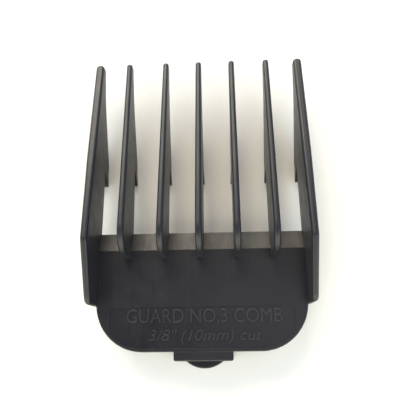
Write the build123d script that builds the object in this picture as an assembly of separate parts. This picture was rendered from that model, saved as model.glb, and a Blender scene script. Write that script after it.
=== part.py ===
from build123d import *
import os

# Clipper guard comb, in millimetres. X runs across the comb, Y from the latch to the tooth tips,
# and Z away from the clipper blade. The origin is the middle of the face that lies on the blade.
# The comb is one moulding, divided here where its working features meet, face to face.

# Overall layout
overall_width = 46.4
splay_y = 28.0
tip_half_width = 23.12
wall_rear_half_width = 22.8
tooth_count = 7
tooth_pitch = 7.6
tip_y = 51.4
blade_stop_y = 25.0
plate_front_y = 13.2
bevel_top_y = 9.3
plate_rear_y = -11.1

# Plate
plate_half_width = 21.52
plate_thickness = 1.9
plate_corner_radius = 9.7
plate_edge_round = 0.25
front_land = 0.3
panel_width = 37.2
panel_front_y = -2.4
panel_depth = 0.1
panel_thickness = 0.9
panel_margin = 0.7
panel_corner_radius = 0.5

# Teeth: the ridge is the edge that rides on the scalp, the belly is the edge below it
ridge_height_at_stop = 9.55
ridge_slope = -0.122
peak_y = 10.1
peak_round = 1.6
foot_y = 7.4
heel_y = 7.5
heel_round = 4.8
belly_y = 43.5
belly_z = 3.15
belly_round = 25.0
tip_depth = 1.5
inner_rear_thickness = 1.35
inner_tip_thickness = 1.25
inner_tip_round = 0.58
inner_ridge_round = 0.54
outer_tip_thickness = 1.85
outer_tip_round = 0.88
outer_ridge_round = 0.6

# Sideways set of each tooth's tip, from tooth 1: a moulded tooth springs a little when it cools
tip_set = [0, -0.3, 0.35, 0.1, -0.1, 0, 0]

# Hooks under the teeth, which take the tips of the clipper blade
hook_drop = 2.8
hook_mouth = 1.9
hook_reach = 3.3
hook_flat = 5.0
hook_flare = 0.2
hook_front_round = 1.2
hook_rear_round = 0.35

# Side walls, which carry the outer teeth back along the plate
wall_front_y = 12.0
wall_end_y = -2.1
wall_end_height = 6.4
wall_end_round = 2.2
wall_skirt = 0.9
wall_skirt_front_y = 9.0
wall_skirt_round = 0.5
wall_corner_radius = 1.1
wall_root = 1.2
wall_root_hollow = 0.27
wall_root_taper_front_y = 7.3
wall_root_taper_rear_y = 1.3

# Latch
latch_middle_x = 0.35
latch_width = 11.8
latch_thickness = 1.1
latch_rear_y = -12.85
latch_top_z = plate_thickness
latch_bottom_z = -5.6
latch_foot_round = 1.0
latch_corner_round = 0.45
web_thickness = 1.0
web_bottom_z = -0.4
web_outer_round = 0.35
web_inner_round = 0.15
root_length = 0.35
catch_top_z = -3.0
catch_reach = 0.75
catch_lip = 0.4
catch_height = 1.4
catch_width = 10.0
catch_round = 0.15
tab_thickness = 1.1
tab_radius = 6.0
tab_reach = 1.7
tab_edge_round = 0.3

# Places worked out from the sizes above
half_width = overall_width / 2
latch_low_x = latch_middle_x - latch_width / 2
latch_high_x = latch_middle_x + latch_width / 2
arm_front_y = latch_rear_y + latch_thickness
root_rear_y = plate_rear_y - root_length
belly_slope = (belly_z + hook_drop) / (belly_y - blade_stop_y - hook_flat)
belly_start_y = belly_y - belly_z / belly_slope
far = 100.0


def ridge_z(y):
    """Height of the straight ridge line at a place along the comb."""
    return ridge_height_at_stop + ridge_slope * (y - blade_stop_y)


def side_face(points, radii):
    """Face in the YZ plane from a closed outline, with a radius for each corner."""
    return Plane.YZ * make_face(FilletPolyline(*points, radius=radii, close=True))


def across(face, low_x, high_x):
    """Solid from a YZ face, between two places across the comb."""
    return extrude(Pos(low_x, 0, 0) * face, high_x - low_x, dir=(1, 0, 0))


def plan_prism(points, low_z, high_z):
    """Solid that stands on a closed outline in the XY plane."""
    face = Pos(0, 0, low_z) * make_face(Polyline(*points, close=True))
    return extrude(face, high_z - low_z)


def block(low, high):
    """Box between two opposite corners."""
    size = [b - a for a, b in zip(low, high)]
    middle = [(a + b) / 2 for a, b in zip(low, high)]
    return Pos(*middle) * Box(*size)


def save(name, solid):
    """Writes one sub-part to its own file."""
    solid.label = name
    export_step(solid, f"parts/{name}.step")


def plate_outline(inset):
    """Plan of the plate, drawn in on every side by an inset."""
    side = plate_half_width - inset
    points = [
        (-side, bevel_top_y),
        (-side, plate_rear_y + inset),
        (side, plate_rear_y + inset),
        (side, bevel_top_y),
    ]
    corner = plate_corner_radius - inset
    return make_face(FilletPolyline(*points, radius=[0, corner, corner, 0], close=True))


def panel_outline():
    """Plan of the sunk panel: straight at the front and sides, following the plate's rear corners."""
    front_half = block((-panel_width / 2, -far, 0), (panel_width / 2, panel_front_y, 1))
    outline = extrude(plate_outline(panel_margin), 1) & front_half
    upright = outline.edges().filter_by(Axis.Z).group_by(Axis.Y)[-1]
    return fillet(upright, panel_corner_radius).faces().sort_by(Axis.Z)[0]


def make_panel():
    """Shallow sunk panel in the plate's top."""
    bottom_z = plate_thickness - panel_depth - panel_thickness
    return extrude(Pos(0, 0, bottom_z) * panel_outline(), panel_thickness, dir=(0, 0, 1))


def make_plate():
    """Plate that lies on the blade: its top edge is rounded behind the side walls, but not at the latch."""
    sharp = extrude(plate_outline(0), plate_thickness)
    rim = sharp.faces().sort_by(Axis.Z)[-1].edges().sort_by(Axis.Y)[:-1]
    rounded = fillet(rim, plate_edge_round)
    front = sharp & block((-far, wall_end_y, -1), (far, far, far))
    rear = rounded & block((-far, -far, -1), (far, wall_end_y, far))
    latch_edge = sharp & block((latch_low_x, -far, -1), (latch_high_x, plate_rear_y + plate_edge_round, far))
    pocket_z = plate_thickness - panel_depth - panel_thickness
    pocket = extrude(Pos(0, 0, pocket_z) * panel_outline(), far, dir=(0, 0, 1))
    return front + rear + latch_edge - pocket


def make_bevel_bar():
    """Sloping front edge of the plate, which the teeth stand on."""
    points = [
        (bevel_top_y, 0),
        (plate_front_y, 0),
        (plate_front_y, front_land),
        (bevel_top_y, plate_thickness),
    ]
    return across(side_face(points, [0, 0, 0, 0]), -plate_half_width, plate_half_width)


def is_outer(number):
    """Whether a tooth is one of the two that continue the side walls."""
    return number in (1, tooth_count)


def between(y, start_y, end_y, start, end):
    """Value at a place along the comb that goes straight from one value to another."""
    return start + (end - start) * (y - start_y) / (end_y - start_y)


def flank_x(y):
    """Half-width over the outer faces of the side walls and outer teeth."""
    if y < splay_y:
        return between(y, wall_end_y, splay_y, wall_rear_half_width, half_width)
    return between(y, splay_y, tip_y, half_width, tip_half_width)


def tooth_limits(number, y):
    """Low and high X of a tooth at a place along the comb."""
    if is_outer(number):
        inner_x = between(y, wall_front_y, tip_y, plate_half_width, tip_half_width - outer_tip_thickness)
        return (-flank_x(y), -inner_x) if number == 1 else (inner_x, flank_x(y))
    root_x = (number - (tooth_count + 1) / 2) * tooth_pitch
    middle = between(y, foot_y, tip_y, root_x, root_x + tip_set[number - 1])
    thickness = between(y, foot_y, tip_y, inner_rear_thickness, inner_tip_thickness)
    return middle - thickness / 2, middle + thickness / 2


def tooth_side(number):
    """Side view of a tooth above the blade seat. An outer tooth ends where its side wall takes over."""
    front = [
        (belly_start_y, 0),
        (belly_y, belly_z),
        (tip_y, ridge_z(tip_y) - tip_depth),
        (tip_y, ridge_z(tip_y)),
    ]
    front_radii = [0, belly_round, 0, 0]
    if is_outer(number):
        rear = [(wall_front_y, ridge_z(wall_front_y)), (wall_front_y, 0)]
        return side_face(front + rear, front_radii + [0, 0])
    rear = [
        (heel_y, ridge_z(heel_y)),
        (foot_y, plate_thickness),
        (bevel_top_y, plate_thickness),
        (plate_front_y, front_land),
        (plate_front_y, 0),
    ]
    return side_face(front + rear, front_radii + [heel_round, 0, 0, 0, 0])


def tooth_plan(number):
    """Plan of a tooth, with a rounded tip."""
    stations = (wall_front_y, splay_y, tip_y) if is_outer(number) else (foot_y, tip_y)
    limits = [(y, tooth_limits(number, y)) for y in stations]
    low_side = [(low_x, y) for y, (low_x, _) in limits]
    high_side = [(high_x, y) for y, (_, high_x) in reversed(limits)]
    tip_round = outer_tip_round if is_outer(number) else inner_tip_round
    radii = [tip_round if y == tip_y else 0 for _, y in low_side + high_side]
    return make_face(FilletPolyline(*low_side, *high_side, radius=radii, close=True))


def scalp_edges(tooth):
    """Edges round a tooth's ridge and tip, and down both sides of its rear edge."""
    chosen = []
    for edge in tooth.edges():
        middle = edge @ 0.5
        on_ridge = middle.Z > ridge_z(middle.Y) - tip_depth / 3
        on_rear = middle.Y < heel_y + heel_round / 2 and middle.Z > 2 * plate_thickness
        across_comb = abs((edge % 0.5).X) > 0.99 and middle.Y < splay_y
        if (on_ridge or on_rear) and not across_comb:
            chosen.append(edge)
    return chosen


def make_tooth(number):
    """One comb tooth above the blade seat, with its tip, scalp edge and rear edge rounded."""
    slab = across(tooth_side(number), -half_width, half_width)
    tooth = slab & extrude(tooth_plan(number), ridge_z(foot_y))
    return fillet(scalp_edges(tooth), outer_ridge_round if is_outer(number) else inner_ridge_round)


def make_hook(number):
    """Hook under a tooth: its mouth faces the latch, and it is flared at the blade stop."""
    points = [
        (blade_stop_y, -hook_drop),
        (blade_stop_y + hook_flat, -hook_drop),
        (belly_start_y, 0),
        (blade_stop_y + hook_reach, 0),
        (blade_stop_y, -hook_mouth),
    ]
    radii = [hook_rear_round, hook_front_round, 0, 0, hook_rear_round]
    slab = across(side_face(points, radii), -half_width, half_width)
    neck_y = blade_stop_y + hook_reach
    front, neck, stop = (tooth_limits(number, y) for y in (belly_start_y, neck_y, blade_stop_y))
    low_flare = 0 if number == 1 else hook_flare
    high_flare = 0 if number == tooth_count else hook_flare
    plan = [
        (stop[0] - low_flare, blade_stop_y),
        (stop[1] + high_flare, blade_stop_y),
        (neck[1], neck_y),
        (front[1], belly_start_y),
        (front[0], belly_start_y),
        (neck[0], neck_y),
    ]
    return slab & plan_prism(plan, -hook_drop, 0)


def wall_root_piece():
    """Hollow strip where the right side wall rises from the plate, tapered off at both ends."""
    low_x = plate_half_width - wall_root
    top_z = plate_thickness + wall_root
    middle = (plate_half_width - wall_root / 2 + wall_root_hollow / 2 ** 0.5,
              plate_thickness + wall_root / 2 - wall_root_hollow / 2 ** 0.5)
    section = Curve() + [
        Line((plate_half_width, plate_thickness), (low_x, plate_thickness)),
        ThreePointArc((low_x, plate_thickness), middle, (plate_half_width, top_z)),
        Line((plate_half_width, top_z), (plate_half_width, plate_thickness)),
    ]
    strip = extrude(Plane.XZ.offset(-bevel_top_y) * make_face(section), far, dir=(0, -1, 0))
    outline = Curve() + [
        Line((low_x, wall_root_taper_rear_y), (low_x, wall_root_taper_front_y)),
        TangentArc((low_x, wall_root_taper_front_y), (plate_half_width, bevel_top_y), tangent=(0, 1)),
        Line((plate_half_width, bevel_top_y), (plate_half_width, wall_end_y)),
        TangentArc((low_x, wall_root_taper_rear_y), (plate_half_width, wall_end_y), tangent=(0, -1)),
    ]
    return strip & extrude(make_face(outline), far)


def wall_plan(corner_radius):
    """Plan of the right side wall, with its rear outer corner rounded to a radius."""
    points = [
        (plate_half_width, wall_front_y),
        (plate_half_width, wall_end_y),
        (flank_x(wall_end_y), wall_end_y),
        (flank_x(wall_front_y), wall_front_y),
    ]
    return make_face(FilletPolyline(*points, radius=[0, 0, corner_radius, 0], close=True))


def wall_top_edges(wall):
    """Edges down both sides of a side wall's top and rear end."""
    chosen = []
    for edge in wall.edges():
        middle = edge @ 0.5
        top_or_rear = middle.Z > plate_thickness or middle.Y < wall_end_y + 0.01
        if top_or_rear and middle.Y < wall_front_y - 0.01 and abs((edge % 0.5).X) < 0.1:
            chosen.append(edge)
    return chosen


def make_right_wall():
    """Right side wall, with a low skirt beside the blade and a rounded rear corner."""
    points = [
        (wall_front_y, 0),
        (wall_front_y, ridge_z(wall_front_y)),
        (peak_y, ridge_z(peak_y)),
        (wall_end_y, wall_end_height),
        (wall_end_y, -wall_skirt),
        (wall_skirt_front_y - wall_skirt, -wall_skirt),
        (wall_skirt_front_y, 0),
    ]
    radii = [0, 0, peak_round, wall_end_round, wall_skirt_round, wall_skirt_round, 0]
    slab = across(side_face(points, radii), plate_half_width, half_width)
    sharp = slab & extrude(Pos(0, 0, -far) * wall_plan(0), 2 * far)
    rounded = fillet(wall_top_edges(sharp), outer_ridge_round)
    return rounded & extrude(Pos(0, 0, -far) * wall_plan(wall_corner_radius), 2 * far) + wall_root_piece()


def make_latch_root():
    """Fixed edge that the latch grows from, on the plate's rear face."""
    return block((latch_low_x, root_rear_y, 0), (latch_high_x, plate_rear_y, latch_top_z))


def latch_plan():
    """Column that rounds the latch's two rear corners in plan."""
    points = [
        (latch_low_x, plate_rear_y),
        (latch_low_x, latch_rear_y),
        (latch_high_x, latch_rear_y),
        (latch_high_x, plate_rear_y),
    ]
    corner = latch_corner_round
    face = make_face(FilletPolyline(*points, radius=[0, corner, corner, 0], close=True))
    return extrude(Pos(0, 0, -far) * face, 2 * far)


def make_latch_web():
    """Bend that flexes: from the root round to the top of the arm."""
    low_z = latch_top_z - web_thickness
    points = [
        (root_rear_y, latch_top_z),
        (latch_rear_y, latch_top_z),
        (latch_rear_y, web_bottom_z),
        (arm_front_y, web_bottom_z),
        (arm_front_y, low_z),
        (root_rear_y, low_z),
    ]
    radii = [0, web_outer_round, 0, 0, web_inner_round, 0]
    return across(side_face(points, radii), latch_low_x, latch_high_x) & latch_plan()


def make_latch_arm():
    """Arm that hangs behind the blade's heel."""
    arm = block((latch_low_x, latch_rear_y, latch_bottom_z), (latch_high_x, arm_front_y, web_bottom_z))
    return fillet(arm.edges().filter_by(Axis.Y).group_by(Axis.Z)[0], latch_foot_round) & latch_plan()


def make_latch_catch():
    """Lip with a lead-in ramp, which snaps under the blade's heel."""
    points = [
        (arm_front_y, catch_top_z),
        (arm_front_y + catch_reach, catch_top_z),
        (arm_front_y + catch_reach, catch_top_z - catch_lip),
        (arm_front_y, catch_top_z - catch_height),
    ]
    face = side_face(points, [0, catch_round, catch_round, 0])
    return across(face, latch_middle_x - catch_width / 2, latch_middle_x + catch_width / 2)


def make_thumb_tab():
    """Rounded tab at the foot of the arm, pulled by the thumb."""
    middle = (latch_middle_x, latch_rear_y - tab_reach + tab_radius, latch_bottom_z + tab_thickness / 2)
    disc = Pos(*middle) * Cylinder(tab_radius, tab_thickness)
    disc = fillet(disc.edges().filter_by(GeomType.CIRCLE), tab_edge_round)
    return disc & block((-far, -far, -far), (far, latch_rear_y, far))


def main():
    os.makedirs("parts", exist_ok=True)
    save("base_plate", make_plate())
    save("label_panel", make_panel())
    save("front_bevel_bar", make_bevel_bar())
    wall = make_right_wall()
    save("right_side_wall", wall)
    save("left_side_wall", mirror(wall, about=Plane.YZ))
    for number in range(1, tooth_count + 1):
        save(f"tooth_{number}", make_tooth(number))
        save(f"tooth_{number}_hook", make_hook(number))
    save("latch_root", make_latch_root())
    save("latch_web", make_latch_web())
    save("latch_arm", make_latch_arm())
    save("latch_catch", make_latch_catch())
    save("thumb_tab", make_thumb_tab())


main()
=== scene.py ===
import math

import bmesh
import bpy
from mathutils import Matrix, Vector


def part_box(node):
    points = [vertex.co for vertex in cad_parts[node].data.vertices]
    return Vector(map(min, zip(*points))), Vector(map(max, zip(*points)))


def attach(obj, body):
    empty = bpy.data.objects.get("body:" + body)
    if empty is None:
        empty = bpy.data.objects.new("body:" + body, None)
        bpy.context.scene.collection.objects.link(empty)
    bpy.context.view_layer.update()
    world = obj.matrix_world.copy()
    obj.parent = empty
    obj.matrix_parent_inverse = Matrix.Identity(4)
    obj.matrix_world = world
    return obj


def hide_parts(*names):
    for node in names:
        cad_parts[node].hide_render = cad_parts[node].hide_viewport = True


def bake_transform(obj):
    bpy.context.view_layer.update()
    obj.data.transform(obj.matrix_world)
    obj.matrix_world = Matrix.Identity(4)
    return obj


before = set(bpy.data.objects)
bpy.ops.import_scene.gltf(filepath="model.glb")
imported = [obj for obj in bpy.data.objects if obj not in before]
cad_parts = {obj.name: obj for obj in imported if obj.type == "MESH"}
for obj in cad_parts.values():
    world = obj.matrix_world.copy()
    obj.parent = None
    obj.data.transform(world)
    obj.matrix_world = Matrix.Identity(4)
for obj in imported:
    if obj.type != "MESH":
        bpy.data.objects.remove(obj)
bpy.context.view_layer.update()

MM = 0.001

# Camera, in the row frame: its turns about X, Y and Z, and where its aim point lies in front of it
CAMERA_TURN = (-0.290, -0.046, 0.024)
CAMERA_OFFSET = Vector((0.067, 4.181, -104.695)) * MM
CAMERA_AIM = Vector((0, 25.0, 0)) * MM
CAMERA_NEAR = 5 * MM
CAMERA_SENSOR = 36
CAMERA_FOCAL = 1.176625 * CAMERA_SENSOR

# Floor: half its width, where along the hooks it touches them, and how far below the latch it lies
FLOOR_HALF = 1.5
FLOOR_TOUCH = 0.4
FLOOR_GAP = 0.05 * MM

# Lights: name, place, width and height, power, colour
LIGHTS = (
    ("window", (-0.30, 0.85, 0.62), (0.9, 0.6), 11.4, (1.0, 0.92, 0.76)),
    ("window_top", (-0.10, 0.80, 0.80), (0.5, 0.5), 3.2, (1.0, 0.90, 0.78)),
    ("side", (0.26, 0.09, 1.0), (0.25, 0.5), 0.7, (0.96, 0.98, 1.0)),
)

# Room light by direction: where it begins and where it is full along an axis, strength, colour
ROOM_TOP = (0.70, 0.90)
ROOM_OVERHEAD = ("Z", *ROOM_TOP, 0.27, (0.93, 0.88, 1.0, 1))
ROOM_AROUND = (
    ("Y", -0.10, -0.60, 2.70, (1.0, 0.94, 0.72, 1)),
    ("X", -0.10, -0.60, 0.95, (0.45, 0.68, 1.0, 1)),
    ("X", 0.10, 0.60, 1.10, (0.50, 0.70, 1.0, 1)),
)

# Nylon: its darkest and lightest colour, and the sizes of the marks in its surface
BLACK = ((0.002, 0.002, 0.0045), (0.004, 0.0038, 0.0075))
# Letters: a paler black than the plate, a painted highlight for the light their raised faces catch
LETTER_BLACK_PAINTED_HIGHLIGHT = ((0.010, 0.011, 0.013), (0.018, 0.019, 0.022))
MOTTLE_SIZE = 3.0 * MM
STREAK_SIZE = 0.5 * MM
STREAK_STRETCH = (1, 0.06, 0.4)
WAVE_SIZE = 5.0 * MM
WAVE_HEIGHT = 0.03 * MM
WORN_WIDTH = 0.25 * MM
WORN_SIZE = 1.2 * MM
NICK_SIZE = 0.45 * MM
NICK_DEPTH = 0.02 * MM
SOFT_EDGE = 0.1 * MM

# Latch strip, from the plate's rear edge round to the foot of the arm
STRIP_THICKNESS = 1.0 * MM
STRIP_OUTER_ROUND = 0.3 * MM
STRIP_CORNER_ROUND = 0.45 * MM
STRIP_FOOT_ROUND = 1.0 * MM
STRIP_CORNER_STEPS = 8
STRIP_STEP = 0.12 * MM

# Raised lettering on the panel: name, text, height, width, place on the plate, slant
LETTER_RELIEF = 0.2 * MM
LETTER_SUNK = 0.04 * MM
LETTERING = (
    ("type_mark", "GUARD NO.3 COMB", 2.75 * MM, 31.3 * MM, (0.55 * MM, -4.15 * MM), 0.0),
    ("size_mark", '3/8" (10mm) cut', 2.9 * MM, 22.6 * MM, (0.7 * MM, -8.2 * MM), 0.25),
)

# Points closer than this are joined
WELD = 0.002 * MM


# ---------------------------------------------------------------- camera, floor and lights


def make_camera():
    """Camera nearly overhead, a little behind the latch, as close as a phone is held."""
    turn = (
        Matrix.Rotation(CAMERA_TURN[2], 3, "Z")
        @ Matrix.Rotation(CAMERA_TURN[1], 3, "Y")
        @ Matrix.Rotation(CAMERA_TURN[0], 3, "X")
    )
    back = turn.transposed()
    data = bpy.data.cameras.new("camera")
    data.sensor_width = CAMERA_SENSOR
    data.lens = CAMERA_FOCAL
    data.clip_start = CAMERA_NEAR
    camera = bpy.data.objects.new("camera", data)
    place = CAMERA_AIM - back @ CAMERA_OFFSET
    camera.matrix_world = Matrix.Translation(place) @ back.to_4x4()
    bpy.context.scene.collection.objects.link(camera)
    bpy.context.scene.camera = camera


def make_floor(material):
    """Pale paper that the hooks and the latch rest on."""
    half = FLOOR_HALF
    corners = [(-half, -half, 0), (half, -half, 0), (half, half, 0), (-half, half, 0)]
    mesh = bpy.data.meshes.new("floor")
    mesh.from_pydata(corners, [], [(0, 1, 2, 3)])
    mesh.materials.append(material)
    floor = bpy.data.objects.new("floor", mesh)
    bpy.context.scene.collection.objects.link(floor)
    hook_low, hook_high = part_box("tooth_4_hook")
    arm_low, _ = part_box("latch_arm")
    rest_y = hook_low.y + FLOOR_TOUCH * (hook_high.y - hook_low.y)
    tilt = math.atan2(hook_low.z - arm_low.z, rest_y - arm_low.y)
    floor.rotation_euler = (tilt, 0, 0)
    floor.location = (0, arm_low.y, arm_low.z - FLOOR_GAP)


def make_light(name, place, size, power, colour):
    """Soft rectangular light aimed at the middle of the comb."""
    data = bpy.data.lights.new(name, "AREA")
    data.shape = "RECTANGLE"
    data.size, data.size_y = size
    data.energy = power
    data.color = colour
    light = bpy.data.objects.new(name, data)
    aim = CAMERA_AIM - Vector(place)
    light.matrix_world = Matrix.Translation(place) @ aim.to_track_quat("-Z", "Y").to_matrix().to_4x4()
    light.visible_camera = False
    bpy.context.scene.collection.objects.link(light)


def make_ramp(tree, value, start, end, top):
    """Value that rises from zero to a top as another goes from start to end."""
    ramp = tree.nodes.new("ShaderNodeMapRange")
    ramp.inputs["From Min"].default_value = start
    ramp.inputs["From Max"].default_value = end
    ramp.inputs["To Max"].default_value = top
    tree.links.new(value, ramp.inputs["Value"])
    return ramp.outputs["Result"]


def make_patch(tree, strength, colour):
    """Background light of one colour and a varying strength."""
    patch = tree.nodes.new("ShaderNodeBackground")
    patch.inputs["Color"].default_value = colour
    tree.links.new(strength, patch.inputs["Strength"])
    return patch.outputs["Background"]


def join_nodes(tree, kind, first, second):
    """New node of a kind, fed by two outputs."""
    node = tree.nodes.new(kind)
    tree.links.new(first, node.inputs[0])
    tree.links.new(second, node.inputs[1])
    return node


def make_world():
    """Room round the table: brightest behind the latch, and dimmer overhead and at the sides."""
    world = bpy.data.worlds.new("world")
    world.use_nodes = True
    tree = world.node_tree
    tree.nodes.remove(tree.nodes["Background"])
    where = tree.nodes.new("ShaderNodeTexCoord")
    parts = tree.nodes.new("ShaderNodeSeparateXYZ")
    tree.links.new(where.outputs["Generated"], parts.inputs["Vector"])
    axis, start, end, top, colour = ROOM_OVERHEAD
    total = make_patch(tree, make_ramp(tree, parts.outputs[axis], start, end, top), colour)
    below_top = make_ramp(tree, parts.outputs["Z"], ROOM_TOP[1], ROOM_TOP[0], 1.0)
    for axis, start, end, top, colour in ROOM_AROUND:
        toward = make_ramp(tree, parts.outputs[axis], start, end, top)
        strength = join_nodes(tree, "ShaderNodeMath", toward, below_top)
        strength.operation = "MULTIPLY"
        patch = make_patch(tree, strength.outputs[0], colour)
        total = join_nodes(tree, "ShaderNodeAddShader", total, patch).outputs[0]
    tree.links.new(total, tree.nodes["World Output"].inputs["Surface"])
    bpy.context.scene.world = world


# ---------------------------------------------------------------- materials


class Shader:
    """A material's node tree, with short calls for the nodes used here."""

    def __init__(self, name):
        self.material = bpy.data.materials.new(name)
        self.material.use_nodes = True
        self.tree = self.material.node_tree
        self.surface = self.tree.nodes["Principled BSDF"]

    def put(self, value, socket):
        """Sets a socket, or links it when the value is another node's output."""
        if isinstance(value, bpy.types.NodeSocket):
            self.tree.links.new(value, socket)
        else:
            socket.default_value = value

    def set_surface(self, **inputs):
        """Sets the surface's inputs by socket name, spaces as underscores."""
        for key, value in inputs.items():
            self.put(value, self.surface.inputs[key.replace("_", " ")])

    def node(self, kind, settings=None, **inputs):
        """New node, with settings by attribute and inputs by socket name, spaces as underscores."""
        node = self.tree.nodes.new(kind)
        for key, value in (settings or {}).items():
            setattr(node, key, value)
        for key, value in inputs.items():
            self.put(value, node.inputs[key.replace("_", " ")])
        return node

    def noise(self, size, detail=2.0, stretch=(1, 1, 1)):
        """Noise with features of about this size in metres, longer along an axis with a small stretch."""
        where = self.node("ShaderNodeTexCoord").outputs["Object"]
        vector = self.node("ShaderNodeMapping", Vector=where, Scale=stretch).outputs["Vector"]
        return self.node("ShaderNodeTexNoise", Vector=vector, Scale=1 / size, Detail=detail).outputs["Fac"]

    def ramp(self, value, low, high, start, end):
        """Value that goes from start to end as the input goes from low to high."""
        node = self.node("ShaderNodeMapRange", Value=value)
        for key, number in (("From Min", low), ("From Max", high), ("To Min", start), ("To Max", end)):
            self.put(number, node.inputs[key])
        return node.outputs["Result"]

    def math(self, operation, a, b):
        """Sum, difference or product of two values."""
        node = self.node("ShaderNodeMath", {"operation": operation})
        self.put(a, node.inputs[0])
        self.put(b, node.inputs[1])
        return node.outputs[0]

    def mix(self, share, a, b, blend_type="MIX"):
        """Colour a with a share of colour b mixed in, or added to it."""
        node = self.node("ShaderNodeMix", {"data_type": "RGBA", "blend_type": blend_type})
        for key, value in (("Factor", share), ("A", a), ("B", b)):
            self.put(value, node.inputs[key])
        return node.outputs["Result"]

    def round_edges(self, radius):
        """Normal that turns smoothly over the model's edges."""
        return self.node("ShaderNodeBevel", {"samples": 4}, Radius=radius).outputs["Normal"]

    def mask_edges(self, radius):
        """One on the model's edges, where the rounded and the true normal part, and zero on its faces."""
        true = self.node("ShaderNodeNewGeometry").outputs["Normal"]
        dot = self.node("ShaderNodeVectorMath", {"operation": "DOT_PRODUCT"})
        self.put(self.round_edges(radius), dot.inputs[0])
        self.put(true, dot.inputs[1])
        return self.ramp(dot.outputs["Value"], 0.995, 0.9, 0.0, 1.0)

    def bump(self, height, distance, normal, strength=1.0, invert=False):
        """Normal with a relief of this height in metres added to it."""
        node = self.node("ShaderNodeBump", {"invert": invert}, Height=height, Distance=distance)
        self.put(strength, node.inputs["Strength"])
        self.put(normal, node.inputs["Normal"])
        return node.outputs["Normal"]


def nylon_colour(shader, dark, light, mottle, worn):
    """Faintly mottled black, a little paler where edges are worn."""
    body = shader.mix(mottle, (*dark, 1), (*light, 1))
    return shader.mix(shader.math("MULTIPLY", worn, 0.012), body, worn, "ADD")


def nylon_roughness(shader, roughness, mottle, worn):
    """Satin that varies with the mottle and along the flow of the plastic, and is smoother on worn edges."""
    streaks = shader.noise(STREAK_SIZE, detail=3.0, stretch=STREAK_STRETCH)
    rough = shader.ramp(mottle, 0.3, 0.7, roughness - 0.04, roughness + 0.04)
    rough = shader.math("ADD", rough, shader.ramp(streaks, 0.35, 0.65, -0.025, 0.025))
    return shader.math("SUBTRACT", rough, shader.math("MULTIPLY", worn, 0.12))


def nylon_normal(shader, grain_size, grain_height, worn):
    """Fine mould grain and long shallow waves, with small nicks in the worn edges."""
    nicks = shader.ramp(shader.noise(NICK_SIZE, detail=1.0), 0.70, 0.74, 0.0, 1.0)
    grain = shader.noise(grain_size)
    waves = shader.noise(WAVE_SIZE, detail=1.0)
    normal = shader.bump(grain, grain_height, shader.round_edges(SOFT_EDGE), strength=0.6)
    normal = shader.bump(waves, WAVE_HEIGHT, normal)
    return shader.bump(shader.math("MULTIPLY", worn, nicks), NICK_DEPTH, normal, invert=True)


def make_nylon(name, colours, roughness, grain_size, grain_height):
    """Satin black moulded nylon: fine mould grain, faint flow streaks, and edges polished by use."""
    shader = Shader(name)
    mottle = shader.noise(MOTTLE_SIZE, detail=4.0)
    worn = shader.math("MULTIPLY", shader.mask_edges(WORN_WIDTH), shader.noise(WORN_SIZE))
    shader.set_surface(
        Base_Color=nylon_colour(shader, *colours, mottle, worn),
        Roughness=nylon_roughness(shader, roughness, mottle, worn),
        Normal=nylon_normal(shader, grain_size, grain_height, worn),
        Specular_IOR_Level=0.56,
        Sheen_Weight=0.03,
        Sheen_Roughness=0.5,
        Sheen_Tint=(0.85, 0.92, 1.0, 1),
    )
    return shader.material


def make_paper():
    """Matt white paper, not quite even in tone."""
    shader = Shader("paper")
    shade = shader.noise(40 * MM, detail=3.0)
    tone = shader.mix(shade, (0.88, 0.87, 0.84, 1), (0.90, 0.89, 0.86, 1))
    shader.set_surface(Base_Color=tone, Roughness=0.9, Specular_IOR_Level=0.2)
    return shader.material


# ---------------------------------------------------------------- latch strip


def make_piece(name, shape):
    """Object from a finished bmesh."""
    mesh = bpy.data.meshes.new(name)
    shape.to_mesh(mesh)
    shape.free()
    piece = bpy.data.objects.new(name, mesh)
    bpy.context.scene.collection.objects.link(piece)
    return piece


def arc(centre, radius, start, end, steps=10):
    """Points on an arc in the YZ plane, from one angle to another in degrees."""
    points = []
    for step in range(steps + 1):
        angle = math.radians(start + (end - start) * step / steps)
        points.append(Vector((centre[0] + radius * math.cos(angle), centre[1] + radius * math.sin(angle))))
    return points


def divide(points, step):
    """Closed outline with its long runs divided into short steps."""
    fine = []
    for here, after in zip(points, points[1:] + points[:1]):
        count = max(1, math.ceil((after - here).length / step))
        fine += [here.lerp(after, part / count) for part in range(count)]
    return fine


def strip_outline():
    """Side view of the strip, as points of Y and Z: from the plate's rear edge over the bend to its foot."""
    root_low, root_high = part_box("latch_root")
    arm_low, arm_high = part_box("latch_arm")
    top = root_high.z
    under = top - STRIP_THICKNESS
    outer = STRIP_OUTER_ROUND
    inner = (root_low.y - arm_high.y) / 2
    points = [Vector((root_high.y, top))]
    points += arc((arm_low.y + outer, top - outer), outer, 90, 180)
    points += [Vector((arm_low.y, arm_low.z)), Vector((arm_high.y, arm_low.z))]
    points += arc((arm_high.y + inner, under - inner), inner, 180, 90)
    points += [Vector((root_high.y, under))]
    return divide(points, STRIP_STEP)


def strip_stations(half):
    """Places across the strip, closest at its sides, each with its depth from the nearer side."""
    depths = []
    for step in range(STRIP_CORNER_STEPS + 1):
        angle = math.radians(90 * step / STRIP_CORNER_STEPS)
        depths.append(STRIP_FOOT_ROUND * (1 - math.cos(angle)))
    near_side = [(depth - half, depth) for depth in depths]
    far_side = [(half - depth, depth) for depth in reversed(depths)]
    return near_side + far_side


def drawn_in(depth, radius):
    """How far a rounded corner draws its face in, at a depth from the side."""
    if depth >= radius:
        return 0
    return radius - math.sqrt(radius ** 2 - (radius - depth) ** 2)


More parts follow.
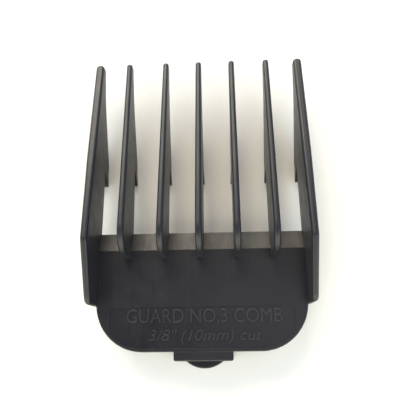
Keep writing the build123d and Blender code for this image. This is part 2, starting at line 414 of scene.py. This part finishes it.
def strip_shape():
    """Closed mesh of the strip, with rounded rear corners and a rounded foot."""
    outline = strip_outline()
    low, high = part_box("latch_arm")
    middle_x = (low.x + high.x) / 2
    shape = bmesh.new()
    rings = []
    for x, depth in strip_stations((high.x - low.x) / 2):
        rear = low.y + drawn_in(depth, STRIP_CORNER_ROUND)
        foot = low.z + drawn_in(depth, STRIP_FOOT_ROUND)
        ring = [(middle_x + x, max(point.x, rear), max(point.y, foot)) for point in outline]
        rings.append([shape.verts.new(place) for place in ring])
    for near, away in zip(rings, rings[1:]):
        for i in range(len(near)):
            shape.faces.new((near[i - 1], near[i], away[i], away[i - 1]))
    shape.faces.new(rings[0])
    shape.faces.new(list(reversed(rings[-1])))
    bmesh.ops.remove_doubles(shape, verts=shape.verts, dist=WELD)
    bmesh.ops.recalc_face_normals(shape, faces=shape.faces)
    return shape


def make_strip():
    """The whole bending latch as one moulding."""
    piece = make_piece("latch_strip", strip_shape())
    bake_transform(piece)
    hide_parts("latch_web", "latch_root", "latch_arm")
    return piece


def make_root():
    """Block under the strip's fixed end, against the plate's rear face."""
    low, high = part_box("latch_root")
    top = Vector((high.x, high.y, high.z - STRIP_THICKNESS))
    shape = bmesh.new()
    place = Matrix.Translation((low + top) / 2) @ Matrix.Diagonal((*(top - low), 1))
    bmesh.ops.create_cube(shape, size=1, matrix=place)
    piece = make_piece("latch_root_block", shape)
    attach(piece, "comb")
    return piece


# ---------------------------------------------------------------- lettering


def letter_mesh(name, text, slant):
    """Solid letters of Blender's own font, at no particular size."""
    curve = bpy.data.curves.new(name, "FONT")
    curve.body = text
    curve.size = 1.0
    curve.shear = slant
    curve.align_x = "CENTER"
    curve.align_y = "CENTER"
    curve.extrude = 0.02
    curve.resolution_u = 4
    letters = bpy.data.objects.new(name, curve)
    bpy.context.scene.collection.objects.link(letters)
    bpy.context.view_layer.update()
    mesh = bpy.data.meshes.new_from_object(letters.evaluated_get(bpy.context.evaluated_depsgraph_get()))
    bpy.data.objects.remove(letters)
    return mesh


def make_lettering(name, text, height, width, place, slant):
    """Raised plain lettering on the panel, upright to someone who holds the latch."""
    mesh = letter_mesh(name, text, slant)
    corners = [v.co for v in mesh.vertices]
    low = Vector([min(c[i] for c in corners) for i in range(3)])
    high = Vector([max(c[i] for c in corners) for i in range(3)])
    size = high - low
    scale = (width / size.x, height / size.y, (LETTER_RELIEF + LETTER_SUNK) / size.z)
    middle = Vector((*place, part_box("label_panel")[1].z + (LETTER_RELIEF - LETTER_SUNK) / 2))
    mesh.transform(
        Matrix.Translation(middle) @ Matrix.Diagonal((*scale, 1)) @ Matrix.Translation(-(low + high) / 2)
    )
    shape = bmesh.new()
    shape.from_mesh(mesh)
    bmesh.ops.remove_doubles(shape, verts=shape.verts, dist=WELD)
    piece = make_piece(name, shape)
    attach(piece, "comb")
    return piece


# ---------------------------------------------------------------- the scene


make_camera()
make_world()
make_floor(make_paper())
for light in LIGHTS:
    make_light(*light)

body_nylon = make_nylon("black_nylon", BLACK, 0.43, 0.09 * MM, 0.004 * MM)
panel_nylon = make_nylon("panel_nylon", BLACK, 0.39, 0.16 * MM, 0.008 * MM)
# The lettering gets the paler black, a painted highlight on its raised faces
letter_nylon = make_nylon("letter_nylon", LETTER_BLACK_PAINTED_HIGHLIGHT, 0.42, 0.16 * MM, 0.006 * MM)

for node_name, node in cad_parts.items():
    node.data.materials.clear()
    node.data.materials.append(panel_nylon if node_name == "label_panel" else body_nylon)

make_strip().data.materials.append(body_nylon)
make_root().data.materials.append(body_nylon)
for mark in LETTERING:
    make_lettering(*mark).data.materials.append(letter_nylon)

bpy.context.scene.view_settings.view_transform = "Standard"
